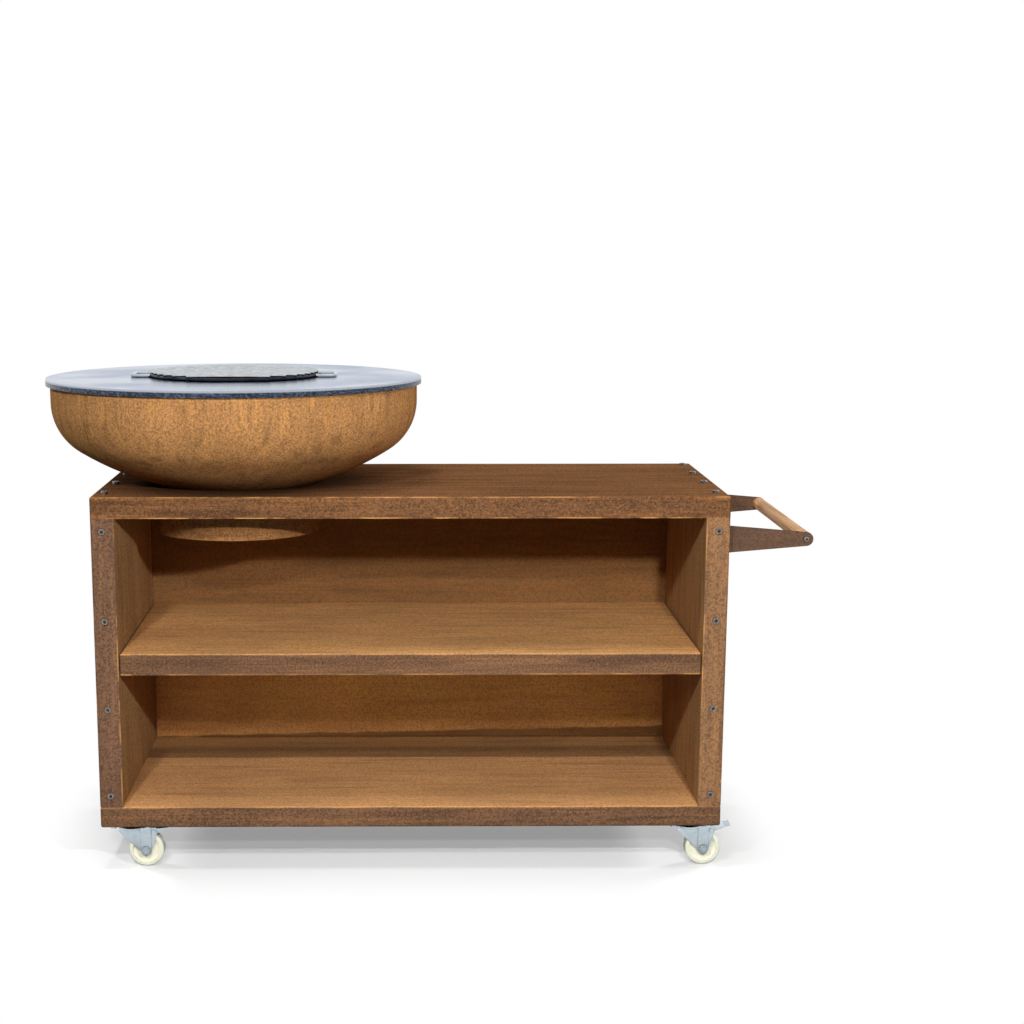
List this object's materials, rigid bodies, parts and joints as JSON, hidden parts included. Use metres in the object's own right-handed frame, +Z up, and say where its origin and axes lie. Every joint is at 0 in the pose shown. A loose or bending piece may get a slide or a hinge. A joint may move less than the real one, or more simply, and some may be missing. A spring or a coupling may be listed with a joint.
{
  "type": "outdoor kitchen island",
  "caption": "Wheeled outdoor kitchen island of weathering steel with open shelves, a fire bowl in the worktop under a round cooking plate and grill grate, and a wooden push handle.",
  "frame": {"origin": "on the floor, in the middle of the box around the whole island", "axes": "+X along the island from the bowl end to the handle end, +Y from the open front to the back, +Z up"},
  "size_m": [1.7214, 0.86, 1.112],
  "materials": {
    "weathered_sheet": "matte",
    "weathered_bowl": "matte",
    "plate_steel": "satin",
    "grate_steel": "polished",
    "bolt_steel": "satin",
    "zinc_steel": "satin",
    "wheel_nylon": "satin",
    "grip_wood": "matte"
  },
  "bodies": {
    "cabinet": {"worktop": "weathered_sheet", "bottom_tray": "weathered_sheet", "left_castor_rail": "weathered_sheet", "right_castor_rail": "weathered_sheet", "left_side_panel": "weathered_sheet", "right_side_panel": "weathered_sheet", "left_side_liner": "weathered_sheet", "right_side_liner": "weathered_sheet", "back_panel": "weathered_sheet", "middle_shelf": "weathered_sheet", "front_post_bolts": "bolt_steel", "back_panel_bolts": "bolt_steel", "worktop_bolts": "bolt_steel", "tray_bolts": "bolt_steel", "castor_mount_bolts": "zinc_steel", "shelf_bolts": "bolt_steel", "handle_front_arm": "weathered_sheet", "handle_rear_arm": "weathered_sheet", "handle_grip": "grip_wood", "handle_grip_screws": "bolt_steel", "handle_arm_bolts": "bolt_steel", "castor_balls": "bolt_steel", "castor_kingpins": "zinc_steel", "front_left_castor_plate": "zinc_steel", "front_right_castor_plate": "zinc_steel", "back_left_castor_plate": "zinc_steel", "back_right_castor_plate": "zinc_steel"},
    "front_left_swivel": {"front_left_castor_fork": "zinc_steel", "front_left_castor_axle": "zinc_steel", "front_left_brake_pin": "zinc_steel"},
    "front_left_wheel": {"front_left_castor_wheel": "wheel_nylon", "front_left_castor_bush": "zinc_steel"},
    "front_left_pedal": {"front_left_brake_pedal": "zinc_steel"},
    "front_right_swivel": {"front_right_castor_fork": "zinc_steel", "front_right_castor_axle": "zinc_steel", "front_right_brake_pin": "zinc_steel"},
    "front_right_wheel": {"front_right_castor_wheel": "wheel_nylon", "front_right_castor_bush": "zinc_steel"},
    "front_right_pedal": {"front_right_brake_pedal": "zinc_steel"},
    "back_left_swivel": {"back_left_castor_fork": "zinc_steel", "back_left_castor_axle": "zinc_steel", "back_left_brake_pin": "zinc_steel"},
    "back_left_wheel": {"back_left_castor_wheel": "wheel_nylon", "back_left_castor_bush": "zinc_steel"},
    "back_left_pedal": {"back_left_brake_pedal": "zinc_steel"},
    "back_right_swivel": {"back_right_castor_fork": "zinc_steel", "back_right_castor_axle": "zinc_steel", "back_right_brake_pin": "zinc_steel"},
    "back_right_wheel": {"back_right_castor_wheel": "wheel_nylon", "back_right_castor_bush": "zinc_steel"},
    "back_right_pedal": {"back_right_brake_pedal": "zinc_steel"},
    "bowl": {"fire_bowl": "weathered_bowl", "bowl_spigot": "weathered_bowl"},
    "plate": {"cooking_plate": "plate_steel", "plate_lugs": "plate_steel"},
    "grate": {"grate_ring": "grate_steel", "grate_bars": "grate_steel", "grate_handles": "grate_steel"}
  },
  "joints": [
    {"name": "front_left_castor_swivel", "type": "hinge", "parent": "cabinet", "child": "front_left_swivel", "pos_m": [-0.66375, -0.24, 0.106], "axis": [0, 0, 1], "continuous": true},
    {"name": "front_left_wheel_spin", "type": "hinge", "parent": "front_left_swivel", "child": "front_left_wheel", "pos_m": [-0.63175, -0.24, 0.04], "axis": [0, 1, 0], "continuous": true},
    {"name": "front_left_brake_press", "type": "hinge", "parent": "front_left_swivel", "child": "front_left_pedal", "pos_m": [-0.61375, -0.24, 0.083], "axis": [0, 1, 0], "range_deg": [0, 15]},
    {"name": "front_right_castor_swivel", "type": "hinge", "parent": "cabinet", "child": "front_right_swivel", "pos_m": [0.61025, -0.24, 0.106], "axis": [0, 0, 1], "continuous": true},
    {"name": "front_right_wheel_spin", "type": "hinge", "parent": "front_right_swivel", "child": "front_right_wheel", "pos_m": [0.64225, -0.24, 0.04], "axis": [0, 1, 0], "continuous": true},
    {"name": "front_right_brake_press", "type": "hinge", "parent": "front_right_swivel", "child": "front_right_pedal", "pos_m": [0.66025, -0.24, 0.083], "axis": [0, 1, 0], "range_deg": [0, 15]},
    {"name": "back_left_castor_swivel", "type": "hinge", "parent": "cabinet", "child": "back_left_swivel", "pos_m": [-0.66375, 0.24, 0.106], "axis": [0, 0, 1], "continuous": true},
    {"name": "back_left_wheel_spin", "type": "hinge", "parent": "back_left_swivel", "child": "back_left_wheel", "pos_m": [-0.63175, 0.24, 0.04], "axis": [0, 1, 0], "continuous": true},
    {"name": "back_left_brake_press", "type": "hinge", "parent": "back_left_swivel", "child": "back_left_pedal", "pos_m": [-0.61375, 0.24, 0.083], "axis": [0, 1, 0], "range_deg": [0, 15]},
    {"name": "back_right_castor_swivel", "type": "hinge", "parent": "cabinet", "child": "back_right_swivel", "pos_m": [0.61025, 0.24, 0.106], "axis": [0, 0, 1], "continuous": true},
    {"name": "back_right_wheel_spin", "type": "hinge", "parent": "back_right_swivel", "child": "back_right_wheel", "pos_m": [0.64225, 0.24, 0.04], "axis": [0, 1, 0], "continuous": true},
    {"name": "back_right_brake_press", "type": "hinge", "parent": "back_right_swivel", "child": "back_right_pedal", "pos_m": [0.66025, 0.24, 0.083], "axis": [0, 1, 0], "range_deg": [0, 15]},
    {"name": "bowl_lift", "type": "slide", "parent": "cabinet", "child": "bowl", "axis": [0, 0, 1], "range_m": [0, 0.3]},
    {"name": "plate_lift", "type": "slide", "parent": "bowl", "child": "plate", "axis": [0, 0, 1], "range_m": [0, 0.25]},
    {"name": "grate_lift", "type": "slide", "parent": "plate", "child": "grate", "axis": [0, 0, 1], "range_m": [0, 0.25]}
  ]
}
